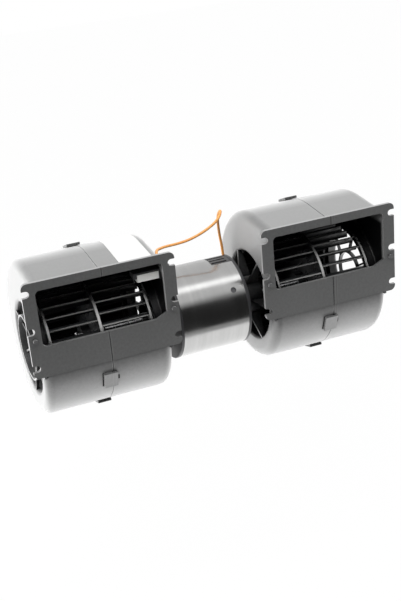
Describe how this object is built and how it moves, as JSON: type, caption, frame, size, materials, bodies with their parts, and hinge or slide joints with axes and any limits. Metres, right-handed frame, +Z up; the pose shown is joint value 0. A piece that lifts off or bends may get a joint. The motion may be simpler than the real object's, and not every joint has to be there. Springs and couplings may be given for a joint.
{
  "type": "blower motor",
  "caption": "Centrifugal blower with black volute housings and flanged air outlets on both sides of a steel-cased motor, whose through shaft drives a wheel in each.",
  "frame": {"origin": "in the plane of the outlet flanges' front faces, midway between the two flanges and level with the shaft", "axes": "+X along the shaft, -Y out of the outlets, +Z up"},
  "size_m": [0.3548, 0.1326, 0.1551],
  "materials": {
    "housing_plastic": "fine moulded grain, black",
    "wheel_plastic": "smooth moulded, black",
    "spring_steel": "plain spring steel",
    "ground_steel": "ground",
    "core_steel": "stacked sheet, dark",
    "copper_wire": "varnished copper wire",
    "copper_bars": "turned copper",
    "bearing_steel": "polished",
    "can_steel": "plated sheet, satin",
    "end_plate_paint": "black satin",
    "cast_alloy": "die cast, satin",
    "ferrite": "sintered, matt",
    "card_plastic": "moulded, brown",
    "carbon": "pressed carbon",
    "ring_rubber": "moulded, black",
    "screw_steel": "zinc plated",
    "vent_plastic": "moulded, black",
    "holder_plastic": "moulded, black",
    "ceramic": "white ceramic",
    "plug_plastic": "moulded, dark",
    "grommet_rubber": "moulded, black",
    "lead_insulation": "orange insulation",
    "label_film": "blank film"
  },
  "bodies": {
    "housing": {"left_outer_shell": "housing_plastic", "left_inner_shell": "housing_plastic", "right_inner_shell": "housing_plastic", "right_outer_shell": "housing_plastic", "left_bearing": "bearing_steel", "right_bearing": "bearing_steel", "motor_can": "can_steel", "left_end_plate": "end_plate_paint", "right_end_plate": "end_plate_paint", "left_bearing_housing": "cast_alloy", "right_bearing_housing": "cast_alloy", "front_magnet": "ferrite", "rear_magnet": "ferrite", "brush_card": "card_plastic", "upper_brush": "carbon", "lower_brush": "carbon", "upper_brush_spring": "spring_steel", "lower_brush_spring": "spring_steel", "left_rubber_ring": "ring_rubber", "right_rubber_ring": "ring_rubber", "left_motor_screws": "screw_steel", "right_motor_screws": "screw_steel", "vent_insert": "vent_plastic", "resistor_holder": "holder_plastic", "resistor_block": "ceramic", "lead_plug": "plug_plastic", "lead_grommet": "grommet_rubber", "motor_lead": "lead_insulation", "label": "label_film"},
    "rotor": {"motor_shaft": "ground_steel", "armature_core": "core_steel", "armature_windings": "copper_wire", "commutator": "copper_bars", "left_wheel": "wheel_plastic", "right_wheel": "wheel_plastic", "left_wheel_clip": "spring_steel", "right_wheel_clip": "spring_steel"}
  },
  "joints": [
    {"name": "shaft_spin", "type": "hinge", "parent": "housing", "child": "rotor", "pos_m": [0, 0.0564, 0], "axis": [1, 0, 0], "continuous": true}
  ]
}
